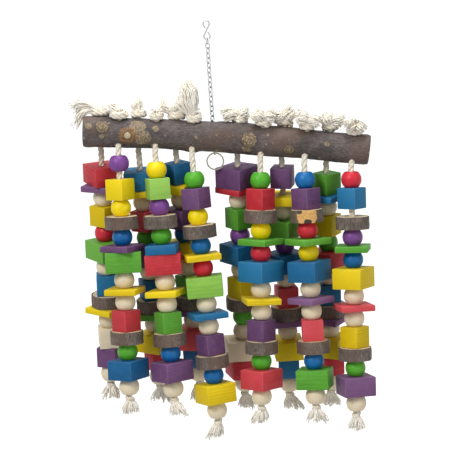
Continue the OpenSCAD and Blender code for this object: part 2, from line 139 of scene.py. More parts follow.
# The camera stands where the photograph was taken, a little above the hook and rolled, as the toy hangs askew
CAMERA_PLACE = (0.0735, -1.7623, 0.1145)
YAW, PITCH, ROLL = -0.0386, -0.1766, -0.0655
SENSOR_MM, FOCAL_PX, FRAME_PX = 36, 1821.3, 450
bpy.ops.object.camera_add(location=CAMERA_PLACE)
camera = bpy.context.object
bpy.context.scene.camera = camera
forward = Vector((math.sin(YAW) * math.cos(PITCH), math.cos(YAW) * math.cos(PITCH), math.sin(PITCH)))
level = Vector((math.cos(YAW), -math.sin(YAW), 0))
upward = level.cross(forward)
right = level * math.cos(ROLL) + upward * math.sin(ROLL)
above = upward * math.cos(ROLL) - level * math.sin(ROLL)
aimed = Matrix((right, above, -forward)).transposed().to_4x4()
camera.matrix_world = Matrix.Translation(CAMERA_PLACE) @ aimed
camera.data.sensor_width = SENSOR_MM
camera.data.lens = SENSOR_MM * FOCAL_PX / FRAME_PX


# Shader node helpers

def link(tree, a, b):
    tree.links.new(a, b)


def feed(tree, value, socket):
    """Links an output to the socket, or sets the socket to a plain number or colour."""
    if hasattr(value, "links"):
        link(tree, value, socket)
    else:
        socket.default_value = (*value, 1) if isinstance(value, tuple) else value


def add(tree, kind, **values):
    n = tree.nodes.new(kind)
    for k, v in values.items():
        setattr(n, k, v)
    return n


def put(node, **values):
    for k, v in values.items():
        node.inputs[k.replace("_", " ")].default_value = v
    return node


def ramp(tree, source, low, high, first=0, last=1):
    """Grey that runs from the first value at low to the last at high."""
    n = add(tree, "ShaderNodeValToRGB")
    for e, at, grey in zip(n.color_ramp.elements, (low, high), (first, last)):
        e.position = at
        e.color = (grey, grey, grey, 1)
    link(tree, source, n.inputs["Fac"])
    return n.outputs["Color"]


def mix(tree, amount, a, b):
    n = add(tree, "ShaderNodeMix", data_type="RGBA")
    for k, v in ((0, amount), (6, a), (7, b)):
        feed(tree, v, n.inputs[k])
    return n.outputs[2]


def maths(tree, operation, *values):
    n = add(tree, "ShaderNodeMath", operation=operation)
    for k, v in enumerate(values):
        feed(tree, v, n.inputs[k])
    return n.outputs[0]


def times(tree, a, b):
    return maths(tree, "MULTIPLY", a, b)


def noise(tree, vector, scale, detail=3, rough=0.55, distort=0):
    n = add(tree, "ShaderNodeTexNoise")
    put(n, Scale=scale, Detail=detail, Roughness=rough, Distortion=distort)
    link(tree, vector, n.inputs["Vector"])
    return n.outputs["Fac"]


def scaled(tree, vector, scale, turn=(0, 0, 0)):
    n = add(tree, "ShaderNodeMapping")
    n.inputs["Scale"].default_value = scale
    n.inputs["Rotation"].default_value = turn
    link(tree, vector, n.inputs["Vector"])
    return n.outputs["Vector"]


def attribute(tree, name, output="Vector"):
    return add(tree, "ShaderNodeAttribute", attribute_name=name).outputs[output]


def srgb(r, g, b):
    return tuple((c / 255 / 12.92) if c <= 10 else ((c / 255 + 0.055) / 1.055) ** 2.4 for c in (r, g, b))


def darker(colour, share):
    return tuple(c * share for c in colour)


def group_tree(name, inputs, outputs):
    tree = bpy.data.node_groups.new(name, "ShaderNodeTree")
    for socket, kind in inputs:
        tree.interface.new_socket(socket, in_out="INPUT", socket_type=kind)
    for socket, kind in outputs:
        tree.interface.new_socket(socket, in_out="OUTPUT", socket_type=kind)
    return tree, tree.nodes.new("NodeGroupInput"), tree.nodes.new("NodeGroupOutput")


def make_wood_grain():
    """Growth rings round a far axis along X, and fine fibres along X."""
    tree, given, out = group_tree(
        "wood_grain", [("Place", "NodeSocketVector"), ("Rings", "NodeSocketFloat")],
        [("Rings", "NodeSocketFloat"), ("Fibres", "NodeSocketFloat"), ("Blotches", "NodeSocketFloat")])
    wave = add(tree, "ShaderNodeTexWave", wave_type="RINGS", rings_direction="X")
    put(wave, Distortion=4.5, Detail=2.5, Detail_Scale=1.1, Detail_Roughness=0.6)
    link(tree, scaled(tree, given.outputs["Place"], (0.25, 1, 1)), wave.inputs["Vector"])
    link(tree, given.outputs["Rings"], wave.inputs["Scale"])
    rings = maths(tree, "POWER", wave.outputs["Fac"], 1.6)
    link(tree, rings, out.inputs["Rings"])
    fibres = noise(tree, scaled(tree, given.outputs["Place"], (110, 1500, 1500)), 1, 3, 0.65)
    link(tree, fibres, out.inputs["Fibres"])
    link(tree, noise(tree, given.outputs["Place"], 130, 3, 0.6, 0.4), out.inputs["Blotches"])
    return tree


def make_rubbed_edges():
    """White where an edge has rubbed pale, broken up by a fine noise."""
    tree, given, out = group_tree(
        "rubbed_edges", [("Place", "NodeSocketVector"), ("Width", "NodeSocketFloat")],
        [("Mask", "NodeSocketFloat")])
    bevel = add(tree, "ShaderNodeBevel", samples=4)
    link(tree, given.outputs["Width"], bevel.inputs["Radius"])
    flat = add(tree, "ShaderNodeNewGeometry")
    dot = add(tree, "ShaderNodeVectorMath", operation="DOT_PRODUCT")
    link(tree, bevel.outputs["Normal"], dot.inputs[0])
    link(tree, flat.outputs["Normal"], dot.inputs[1])
    edge = maths(tree, "SUBTRACT", 1, dot.outputs["Value"])
    broken = noise(tree, given.outputs["Place"], 900, 3, 0.7)
    mask = times(tree, times(tree, edge, 9), broken)
    link(tree, maths(tree, "MINIMUM", mask, 0.75), out.inputs["Mask"])
    return tree


def make_bark_skin():
    """Fine wrinkles, pale breathing spots and slow patches of a smooth young bark."""
    tree, given, out = group_tree(
        "bark_skin", [("Place", "NodeSocketVector"), ("Spots", "NodeSocketFloat")],
        [("Wrinkles", "NodeSocketFloat"), ("Spots", "NodeSocketFloat"), ("Patches", "NodeSocketFloat")])
    wrinkles = noise(tree, scaled(tree, given.outputs["Place"], (260, 900, 900)), 1, 5, 0.68, 0.6)
    link(tree, wrinkles, out.inputs["Wrinkles"])
    spots = None
    for size, reach, few in ((110, 0.16, 0.56), (230, 0.14, 0.44)):
        cells = add(tree, "ShaderNodeTexVoronoi", feature="F1")
        put(cells, Scale=1.0)
        link(tree, scaled(tree, given.outputs["Place"], (size * 1.15, size, size)), cells.inputs["Vector"])
        near = ramp(tree, cells.outputs["Distance"], reach * 0.6, reach, 1, 0)
        some = maths(tree, "GREATER_THAN", noise(tree, given.outputs["Place"], 55, 2), few)
        both = times(tree, near, some)
        spots = both if spots is None else maths(tree, "MAXIMUM", spots, times(tree, both, 0.6))
    link(tree, times(tree, spots, given.outputs["Spots"]), out.inputs["Spots"])
    link(tree, noise(tree, given.outputs["Place"], 38, 3, 0.6), out.inputs["Patches"])
    return tree


RINGS_PER_M = 210.0
wood_grain = make_wood_grain()
rubbed_edges = make_rubbed_edges()
bark_skin = make_bark_skin()


def new_material(name, roughness, specular=0.5):
    m = bpy.data.materials.new(name)
    m.use_nodes = True
    tree = m.node_tree
    shader = tree.nodes["Principled BSDF"]
    shader.inputs["Roughness"].default_value = roughness
    shader.inputs["Specular IOR Level"].default_value = specular
    return m, tree, shader


def use_group(tree, group, **values):
    n = add(tree, "ShaderNodeGroup", node_tree=group)
    for k, v in values.items():
        feed(tree, v, n.inputs[k])
    return n


def bump(tree, shader, height, strength, distance):
    n = add(tree, "ShaderNodeBump")
    put(n, Strength=strength, Distance=distance)
    link(tree, height, n.inputs["Height"])
    link(tree, n.outputs["Normal"], shader.inputs["Normal"])


def dyed_wood(name, deep, worn, roughness, grain, edges):
    """Wood stained with a thin dye, so that its grain shows through."""
    m, tree, shader = new_material(name, roughness, 0.28)
    place = attribute(tree, "grain_at")
    wood = use_group(tree, wood_grain, Place=place, Rings=RINGS_PER_M)
    fade = attribute(tree, "fade", "Fac")
    dark = darker(deep, 1 - 0.2 * grain)
    colour = mix(tree, times(tree, wood.outputs["Rings"], 0.85), dark, deep)
    streak = ramp(tree, wood.outputs["Fibres"], 0.35, 0.68)
    colour = mix(tree, times(tree, streak, 0.2 * grain), colour, worn)
    patch = ramp(tree, wood.outputs["Blotches"], 0.42, 0.75)
    colour = mix(tree, times(tree, patch, 0.12 + 0.1 * grain), colour, worn)
    colour = mix(tree, fade, colour, worn)
    if edges:
        rub = use_group(tree, rubbed_edges, Place=place, Width=0.0009)
        pale = tuple(min(1, c * 0.6 + 0.34) for c in worn)
        colour = mix(tree, times(tree, rub.outputs["Mask"], edges), colour, pale)
    link(tree, colour, shader.inputs["Base Color"])
    uneven = maths(tree, "MULTIPLY_ADD", wood.outputs["Fibres"], 0.25, roughness - 0.12)
    link(tree, uneven, shader.inputs["Roughness"])
    height = maths(tree, "ADD", wood.outputs["Fibres"], wood.outputs["Rings"])
    bump(tree, shader, height, 0.22 * grain + 0.05, 0.0002)
    return m


# Deep and worn shade of each dye, sawn pieces first
DYES = {
    "red": ((178, 26, 40), (216, 84, 90)),
    "yellow": ((222, 190, 0), (234, 208, 14)),
    "green": ((72, 148, 34), (112, 174, 66)),
    "lime": ((122, 178, 62), (150, 194, 90)),
    "blue": ((0, 82, 132), (36, 118, 160)),
    "purple": ((84, 48, 92), (140, 100, 142)),
    "plain": ((226, 210, 178), (240, 230, 206)),
}
BEAD_DYES = dict(
    DYES, purple=((112, 60, 134), (140, 90, 156)), green=((72, 158, 32), (104, 180, 60)),
    yellow=((234, 206, 0), (242, 218, 14)), blue=((0, 92, 156), (26, 118, 176)),
    red=((198, 32, 50), (212, 60, 70)))
sawn_dyes = {
    dye: dyed_wood("dyed_pine_" + dye, srgb(*deep), srgb(*worn), 0.58, 0.5 if dye == "plain" else 1.0, 0.4)
    for dye, (deep, worn) in DYES.items()}
bead_dyes = {
    dye: dyed_wood("turned_bead_" + dye, srgb(*deep), srgb(*worn), 0.4, 0.3, 0)
    for dye, (deep, worn) in BEAD_DYES.items()}


def bark_material(name, dark, light, spots, bared=False):
    """Smooth grey-brown bark. Painted distances bring out the knots, the stub and the bare patches."""
    m, tree, shader = new_material(name, 0.62, 0.4)
    place = attribute(tree, "grain_at")
    skin = use_group(tree, bark_skin, Place=place, Spots=spots)
    wrinkles = skin.outputs["Wrinkles"]
    colour = mix(tree, ramp(tree, wrinkles, 0.34, 0.64), dark, light)
    slow = ramp(tree, skin.outputs["Patches"], 0.42, 0.62)
    colour = mix(tree, times(tree, slow, 0.55), colour, darker(dark, 0.62))
    warm = ramp(tree, noise(tree, place, 21, 3, 0.6), 0.5, 0.66)
    colour = mix(tree, times(tree, warm, 0.4), colour, srgb(110, 84, 68))
    colour = mix(tree, times(tree, skin.outputs["Spots"], 0.75), colour, srgb(168, 152, 128))
    ragged = maths(tree, "MULTIPLY_ADD", noise(tree, place, 320, 3, 0.65), 0.9, -0.45)
    creases = noise(tree, scaled(tree, place, (620, 420, 420)), 1, 4, 0.65, 1.4)
    crust = mix(tree, ramp(tree, creases, 0.4, 0.62), srgb(84, 70, 52), srgb(164, 146, 116))

    def edge_mask(near, edge, soft):
        away = maths(tree, "SUBTRACT", edge, near)
        n = add(tree, "ShaderNodeMath", operation="MULTIPLY", use_clamp=True)
        link(tree, away, n.inputs[0])
        n.inputs[1].default_value = 1 / soft
        return n.outputs[0]

    def within(name, edge, soft):
        return edge_mask(maths(tree, "ADD", attribute(tree, name, "Fac"), ragged), edge, soft)

    def from_point(*point):
        n = add(tree, "ShaderNodeVectorMath", operation="DISTANCE")
        link(tree, place, n.inputs[0])
        n.inputs[1].default_value = point
        return maths(tree, "ADD", n.outputs["Value"], times(tree, ragged, 0.005))

    def patch(colour, mask, share, other):
        return mix(tree, times(tree, mask, share), colour, other)

    colour = patch(colour, within("patch_near", 1.0, 0.12), 0.85, crust)
    colour = patch(colour, within("swirl_near", 1.25, 0.1), 0.8, srgb(48, 40, 36))
    eddy = maths(tree, "MULTIPLY_ADD", noise(tree, place, 170, 4, 0.7, 1.2), 1.6, -0.8)
    swirled = maths(tree, "ADD", attribute(tree, "swirl_near", "Fac"), eddy)
    swirl = maths(tree, "SINE", times(tree, swirled, 11))
    knot = mix(tree, ramp(tree, swirl, 0, 0.7), crust, srgb(92, 74, 54))
    colour = mix(tree, within("swirl_near", 1.08, 0.15), colour, knot)
    cracked = ramp(tree, creases, 0.35, 0.65)
    scab = mix(tree, cracked, srgb(86, 62, 32), srgb(146, 108, 62))
    colour = patch(colour, within("stub_near", 2.2, 0.35), 0.9, scab)
    stub = attribute(tree, "stub_near", "Fac")
    colour = mix(tree, edge_mask(stub, 1.0, 0.12), colour, srgb(52, 42, 34))
    rings = ramp(tree, maths(tree, "SINE", times(tree, stub, 26)), 0.2, 0.9)
    heart = mix(tree, rings, srgb(190, 172, 140), srgb(146, 124, 92))
    colour = mix(tree, edge_mask(stub, 0.8, 0.1), colour, heart)
    if bared:
        wood = mix(tree, cracked, srgb(186, 134, 70), srgb(222, 180, 112))
        # The bark has come off the front of this slice: pale wood, a dark arch at its lower edge that is
        # painted shade standing for the inside of a hole the mesh doesn't cut, and a dark patch at the top
        for point, reach, soft, shade in (
                ((0.007, 0, -0.0165), 0.0105, 0.0006, wood),
                ((0, 0.0005, -0.0165), 0.0042, 0.0004, srgb(40, 33, 28)),
                ((0.0125, -0.0075, -0.015), 0.0038, 0.0006, srgb(62, 52, 44))):
            colour = mix(tree, edge_mask(from_point(*point), reach, soft), colour, shade)
    link(tree, colour, shader.inputs["Base Color"])
    height = maths(tree, "ADD", wrinkles, times(tree, creases, within("swirl_near", 1.2, 0.3)))
    bump(tree, shader, height, 0.6, 0.0007)
    return m


def end_grain_material():
    """Sawn end of a branch: fine rings round the pith and faint saw marks."""
    m, tree, shader = new_material("sawn_branch_wood", 0.7, 0.3)
    place = attribute(tree, "grain_at")
    wave = add(tree, "ShaderNodeTexWave", wave_type="RINGS", rings_direction="X")
    put(wave, Scale=170.0, Distortion=1.4, Detail=2.0, Detail_Scale=1.2)
    link(tree, place, wave.inputs["Vector"])
    rings = ramp(tree, wave.outputs["Fac"], 0.2, 0.8)
    colour = mix(tree, rings, srgb(214, 188, 146), srgb(238, 222, 188))
    saw = noise(tree, scaled(tree, place, (200, 2600, 220)), 1, 3, 0.6)
    marks = times(tree, ramp(tree, saw, 0.45, 0.7), 0.3)
    colour = mix(tree, marks, colour, srgb(184, 152, 108))
    link(tree, colour, shader.inputs["Base Color"])
    bump(tree, shader, saw, 0.3, 0.0002)
    return m


def rope_material(name, shade, light):
    """Undyed cotton. lay_at runs along each ply or yarn and round it."""
    m, tree, shader = new_material(name, 0.9, 0.15)
    lay = attribute(tree, "lay_at")
    hairs = noise(tree, scaled(tree, lay, (420, 2600, 1), (0, 0, 0.7)), 1, 3, 0.6)
    colour = mix(tree, ramp(tree, hairs, 0.34, 0.62), shade, light)
    stain = noise(tree, attribute(tree, "grain_at"), 90, 3, 0.6)
    stained = times(tree, ramp(tree, stain, 0.5, 0.75), 0.35)
    colour = mix(tree, stained, colour, srgb(198, 170, 122))
    link(tree, colour, shader.inputs["Base Color"])
    shader.inputs["Sheen Weight"].default_value = 0.3
    shader.inputs["Sheen Roughness"].default_value = 0.5
    bump(tree, shader, hairs, 0.6, 0.0003)
    return m


def wire_material(name, colour, roughness):
    """Bright nickel plate, slightly dulled where the wire has rubbed."""
    m, tree, shader = new_material(name, roughness)
    shader.inputs["Metallic"].default_value = 1.0
    place = add(tree, "ShaderNodeTexCoord").outputs["Object"]
    rub = noise(tree, place, 900, 3, 0.6)
    dulled = mix(tree, ramp(tree, rub, 0.4, 0.7), colour, darker(colour, 0.72))
    link(tree, dulled, shader.inputs["Base Color"])
    link(tree, maths(tree, "MULTIPLY_ADD", rub, 0.25, roughness - 0.1), shader.inputs["Roughness"])
    return m


log_bark = bark_material("log_bark", srgb(42, 36, 36), srgb(106, 95, 92), 1.0)
slice_bark = bark_material("slice_bark", srgb(52, 44, 39), srgb(126, 113, 102), 0.35)
bared_bark = bark_material("bared_bark", srgb(52, 44, 39), srgb(126, 113, 102), 0.35, bared=True)
end_grain = end_grain_material()
cotton = rope_material("twisted_cotton", srgb(206, 194, 172), srgb(242, 236, 222))
frayed = rope_material("frayed_cotton", srgb(240, 232, 214), srgb(254, 251, 243))
nickel = wire_material("nickel_wire", srgb(176, 178, 180), 0.28)
ring_steel = wire_material("split_ring_steel", srgb(150, 146, 136), 0.3)


# Modelling helpers

def clear_selection():
    if bpy.context.object and bpy.context.object.mode != "OBJECT":
        bpy.ops.object.mode_set(mode="OBJECT")
    bpy.ops.object.select_all(action="DESELECT")


def choose(obj):
    """Makes the object the active one and the only one selected."""
    clear_selection()
    obj.select_set(True)
    bpy.context.view_layer.objects.active = obj


def keep_place(obj):
    """Puts the object's place and turn into its mesh."""
    choose(obj)
    bpy.ops.object.transform_apply(location=True, rotation=True, scale=True)


def apply_modifier(obj, kind, **values):
    choose(obj)
    m = obj.modifiers.new(kind.lower(), kind)
    for k, v in values.items():
        setattr(m, k, v)
    bpy.ops.object.modifier_apply(modifier=m.name)


def pick(obj, kind, test):
    """Goes into edit mode with just the faces or edges selected that pass the test."""
    choose(obj)
    bpy.context.tool_settings.mesh_select_mode = (False, kind == "edge", kind == "face")
    for group in (obj.data.vertices, obj.data.edges, obj.data.polygons):
        group.foreach_set("select", [False] * len(group))
    for e in obj.data.edges if kind == "edge" else obj.data.polygons:
        e.select = test(e)
    bpy.ops.object.mode_set(mode="EDIT")


def drill(obj, radius, depth):
    """Cuts a round bore along Z."""
    clear_selection()
    bpy.ops.mesh.primitive_cylinder_add(vertices=28, radius=radius, depth=depth * 3)
    drill_bit = bpy.context.object
    apply_modifier(obj, "BOOLEAN", operation="DIFFERENCE", object=drill_bit, solver="EXACT")
    bpy.data.objects.remove(drill_bit)


def cut_level(obj, z, up=1, **values):
    """Cuts the whole mesh through at a height."""
    choose(obj)
    bpy.ops.object.mode_set(mode="EDIT")
    bpy.ops.mesh.select_all(action="SELECT")
    bpy.ops.mesh.bisect(plane_co=(0, 0, z), plane_no=(0, 0, up), **values)
    bpy.ops.object.mode_set(mode="OBJECT")


def ease_edges(obj, width, segments=2, angle=40):
    apply_modifier(
        obj, "BEVEL", width=width, segments=segments, limit_method="ANGLE", angle_limit=math.radians(angle))


def smooth(obj, angle=35):
    choose(obj)
    bpy.ops.object.shade_smooth_by_angle(angle=math.radians(angle))


def sawn_piece(kind):
    """A sawn and drilled piece of pine with eased edges, standing on the origin."""
    length, width = SAWN[kind]
    height = HEIGHTS[kind]
    clear_selection()
    bpy.ops.mesh.primitive_cube_add(
        size=1, location=(0, 0, height * MM / 2), scale=(length * MM, width * MM, height * MM))
    obj = bpy.context.object
    obj.name = "master_" + kind
    keep_place(obj)
    drill(obj, BORE_R * MM, height * MM)
    ease_edges(obj, 0.00075)
    smooth(obj)
    return obj


def turned_bead():
    """A turned bead with a flat round each mouth of its bore."""
    clear_selection()
    half = HEIGHTS["bead"] * MM / 2
    bpy.ops.mesh.primitive_uv_sphere_add(
        segments=32, ring_count=20, radius=BEAD_D * MM / 2, location=(0, 0, half))
    obj = bpy.context.object
    obj.name = "master_bead"
    keep_place(obj)
    for z, up in ((0, -1), (2 * half, 1)):
        cut_level(obj, z, up, use_fill=True, clear_outer=True)
    drill(obj, BORE_R * MM, half * 2)
    ease_edges(obj, 0.0006)
    smooth(obj, 40)
    return obj


def branch_slice(seed):
    """A slice of a branch: pale sawn faces inside a rim of bark, not quite round."""
    rng = random.Random(seed)
    height, radius = HEIGHTS["slice"] * MM, SLICE_D * MM / 2
    clear_selection()
    bpy.ops.mesh.primitive_cylinder_add(
        vertices=64, radius=radius, depth=height, location=(0, 0, height / 2))
    obj = bpy.context.object
    obj.name = "master_slice"
    keep_place(obj)
    for level in (0.33, 0.68):
        cut_level(obj, height * level)
    pick(obj, "face", lambda f: abs(f.normal.z) > 0.9)
    bpy.ops.mesh.inset(thickness=0.0011, depth=0)
    bpy.ops.mesh.inset(thickness=0.0004, depth=-0.00012)
    bpy.ops.object.mode_set(mode="OBJECT")
    waves = [(rng.uniform(0, 6.28), rng.uniform(0.2, 0.45), k) for k in (2, 3, 5, 9, 14)]
    for v in obj.data.vertices:
        a = math.atan2(v.co.y, v.co.x)
        if math.hypot(v.co.x, v.co.y) > 0.004:
            swell = sum(w * math.cos(k * a + p) / k ** 0.6 for p, w, k in waves) - 0.35
            swell += 0.25 * math.sin(9 * a + v.co.z * 900)
            grow = 1 + swell * MM / radius
            v.co.x *= grow
            v.co.y *= grow
    drill(obj, BORE_R * MM, height)
    ease_edges(obj, 0.0003, 1, 45)
    smooth(obj, 35)
    return obj


def paint(obj, name, kind, values):
    """Writes a point attribute that the object's materials read."""
    old = obj.data.attributes.get(name)
    if old:
        obj.data.attributes.remove(old)
    layer = obj.data.attributes.new(name, kind, "POINT")
    field = "vector" if kind == "FLOAT_VECTOR" else "value"
    layer.data.foreach_set(field, np.asarray(values, np.float32).ravel())


def corner_places(obj):
    co = np.empty(len(obj.data.vertices) * 3, np.float32)
    obj.data.vertices.foreach_get("co", co)
    return co.reshape(-1, 3)


def join(objects, name):
    clear_selection()
    for o in objects:
        o.select_set(True)
    bpy.context.view_layer.objects.active = objects[0]
    if len(objects) > 1:
        bpy.ops.object.join()
    objects[0].name = name
    objects[0].data.name = name
    return objects[0]


# Where things are

ring_joint = next(j for j in frame["joints"] if j["name"] == "ring_swing")
ring_top = ring_joint["pos_m"][2] / MM
LOG_Z = ring_top + 0.7 + 0.3 + LOG_R / math.cos(LOG_TILT)
BEND_R = (LOG_LEFT + LOG_RIGHT) ** 2 / (8 * LOG_BOW)


def on_log(s, y, w):
    """A point of the bowed log: s along it from the chain, y across it and w up from its middle."""
    a = s / BEND_R
    x, z = (BEND_R + w) * math.sin(a), (BEND_R + w) * math.cos(a) - BEND_R
    return Vector((
        x * math.cos(LOG_TILT) + z * math.sin(LOG_TILT), y,
        LOG_Z - x * math.sin(LOG_TILT) + z * math.cos(LOG_TILT)))


def bore_ends(i):
    """Where a rope's bore opens under the log, at the string's swing point, and on top of it."""
    string = STRINGS[i]
    low = on_log(string.place, string.side * EXIT_Y, -LOG_R - SWING_DROP)
    return low, on_log(string.place, string.side * TOP_Y, LOG_R)


def string_frame(i):
    """Swing point, turn and length of a string, whose own Z points up along it."""
    string = STRINGS[i]
    length = string.top + sum(HEIGHTS[piece.split()[0]] + STACK_GAP for piece in string.pieces)
    splay = Matrix.Rotation(string.side * math.atan(SPLAY / length), 4, "X")
    sideways = Matrix.Rotation(-math.atan(string.lean / length), 4, "Y")
    return bore_ends(i)[0], sideways @ splay, length


# Ropes and yarns

def carried_frames(points):
    """Tangents and side vectors along a line, carried along it without twist."""
    tangents = []
    for k in range(len(points)):
        a, b = points[max(k - 1, 0)], points[min(k + 1, len(points) - 1)]
        tangents.append((b - a).normalized())
    side = tangents[0].orthogonal().normalized()
    sides = [side]
    for k in range(1, len(points)):
        turn = tangents[k - 1].rotation_difference(tangents[k])
        side = turn @ side
        side = (side - tangents[k] * side.dot(tangents[k])).normalized()
        sides.append(side)
    return tangents, sides


class Lay:
    """Collects tubes and makes them one mesh."""

    def __init__(self):
        self.corners, self.faces, self.lay = [], [], []

    def tube(self, points, radii, sides, start=0.0):
        tangents, across = carried_frames(points)
        base, run = len(self.corners), start
        for k, p in enumerate(points):
            if k:
                run += (p - points[k - 1]).length
            up = tangents[k].cross(across[k])
            for q in range(sides):
                a = 2 * math.pi * q / sides
                self.corners.append(p + (across[k] * math.cos(a) + up * math.sin(a)) * radii[k])
                self.lay.append((run * MM, abs(a - math.pi) * radii[k] * MM, 0))
        for k in range(len(points) - 1):
            for q in range(sides):
                a, b = base + k * sides + q, base + k * sides + (q + 1) % sides
                self.faces.append((a, b, b + sides, a + sides))
        self.faces.append(tuple(base + q for q in reversed(range(sides))))
        last = base + (len(points) - 1) * sides
        self.faces.append(tuple(last + q for q in range(sides)))

    def make(self, name, material):
        mesh = bpy.data.meshes.new(name)
        mesh.from_pydata([tuple(c * MM) for c in self.corners], [], self.faces)
        mesh.update()
        obj = bpy.data.objects.new(name, mesh)
        bpy.context.scene.collection.objects.link(obj)
        paint(obj, "lay_at", "FLOAT_VECTOR", self.lay)
        paint(obj, "grain_at", "FLOAT_VECTOR", corner_places(obj))
        mesh.materials.append(material)
        for f in mesh.polygons:
            f.use_smooth = True
        return obj


def even_line(points, step):
    """The same line with a point every step millimetres."""
    out, left = [points[0]], step
    for a, b in zip(points, points[1:]):
        span = (b - a).length
        at = left
        while at <= span:
            out.append(a.lerp(b, at / span))
            at += step
        left = at - span
    out.append(points[-1])
    return out


def twist_rope(lay, points, rope_r=ROPE_R, pitch=17, start=0.0, sides=9, step=1.1):
    """Three plies laid round a line."""
    line = even_line(points, step)
    tangents, across = carried_frames(line)
    for ply in range(3):
        run, centre = start, []
        for k, p in enumerate(line):
            if k:
                run += (p - line[k - 1]).length
            a = 2 * math.pi * (run / pitch + ply / 3)
            up = tangents[k].cross(across[k])
            centre.append(p + (across[k] * math.cos(a) + up * math.sin(a)) * rope_r * 0.49)
        radii = [rope_r * 0.53] * len(line)
        radii[0] *= 0.55
        radii[-1] *= 0.55
        lay.tube(centre, radii, sides, ply * 41.0)


def smooth_line(points, count):
    """A soft curve through a few points."""
    pts = [points[0] * 2 - points[1], *points, points[-1] * 2 - points[-2]]
    out = []
    for k in range(count):
        t = k / (count - 1) * (len(points) - 1)
        n = min(int(t), len(points) - 2)
        u = t - n
        a, b, c, d = pts[n:n + 4]
        bend, twist = 2 * a - 5 * b + 4 * c - d, 3 * b - a - 3 * c + d
        out.append(0.5 * (2 * b + (c - a) * u + bend * u * u + twist * u ** 3))
    return out


def fray(lay, rng, line, widths, count, thick, curl):
    """A bunch of yarns that spreads along a line as wide as the widths say."""
    tangents, across = carried_frames(line)
    n = len(line)
    for _ in range(count):
        angle, reach = rng.uniform(0, 2 * math.pi), math.sqrt(rng.uniform(0.02, 1))
        end = rng.uniform(0.72, 1.0)
        wave, phase, swing = rng.uniform(0.5, 1.5), rng.uniform(0, 6.28), rng.uniform(0.3, 1.0) * curl
        drift = rng.uniform(-0.6, 0.6)
        points, radii = [], []
        for q in range(9):
            t = q / 8 * end
            at = t * (n - 1)
            m = min(int(at), n - 2)
            centre = line[m].lerp(line[m + 1], at - m)
            width = widths[m] + (widths[m + 1] - widths[m]) * (at - m)
            a = angle + drift * t
            up = tangents[m].cross(across[m])
            out = across[m] * math.cos(a) + up * math.sin(a)
            wiggle = across[m] * math.sin(phase + wave * t * 9) + up * math.cos(phase * 1.7 + wave * t * 7)
            points.append(centre + out * reach * width + wiggle * swing * t)
            radii.append(thick * (1 - 0.55 * t ** 2))
        radii[0] *= 0.6
        lay.tube(points, radii, 4, rng.uniform(0, 300))


def rope_down(i):
    """The rope of one string from its swing point through all its pieces, its lower knot and its tassel."""
    rng = random.Random(700 + i)
    point, turn, length = string_frame(i)
    lay = Lay()

    def place(x, y, z):
        return point + turn @ Vector((x, y, z))

    twist_rope(lay, [place(0, 0, 0.8), place(0, 0, -length - 2)], start=i * 5.0)
    coil = []
    for k in range(29):
        t = k / 28
        a = 2 * math.pi * 1.6 * t + i
        r = 2.5 * math.sin(math.pi * min(1, 0.12 + 0.88 * t)) ** 0.5
        coil.append(place(r * math.cos(a), r * math.sin(a), -length - 1.5 - 6.0 * t))
    twist_rope(lay, coil, rope_r=2.6, pitch=15)
    strands = len(lay.faces)
    lean_x = math.tan(math.radians(STRINGS[i].tassel))
    for clump in range(CLUMPS):
        a = 2 * math.pi * (clump + rng.uniform(-0.3, 0.3)) / CLUMPS
        far = rng.uniform(5, 11)
        down = rng.uniform(0.72, 1.0) * TASSEL_L
        c, s = math.cos(a), math.sin(a)
        line = smooth_line([
            place(0.9 * c, 0.9 * s, -length - 4.5),
            place(far * 0.6 * c + lean_x * down * 0.35, far * 0.5 * s, -length - 4 - 0.4 * down),
            place(far * c + lean_x * down, far * 0.8 * s, -length - 3.5 - down)], 9)
        fray(lay, rng, line, [0.8, 1.1, 1.4, 1.6, 1.8, 2.0, 2.2, 2.4, 2.6], 14, 0.7, 1.3)
    obj = lay.make("rope_of_string_%02d" % (i + 1), cotton)
    obj.data.materials.append(frayed)
    for f in obj.data.polygons[strands:]:
        f.material_index = 1
    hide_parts("rope_%02d" % (i + 1))
    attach(obj, "string_%02d" % (i + 1))


# Radius of each knot on the log
KNOT_R = [5.4, 5.4, 4.4, 3.7, 5.2, 4.4, 4.8, 4.8, 4.8, 4.8, 4.8, 4.6]
# The ropes from this one on are frayed out fuller
FIRST_FULL = 6


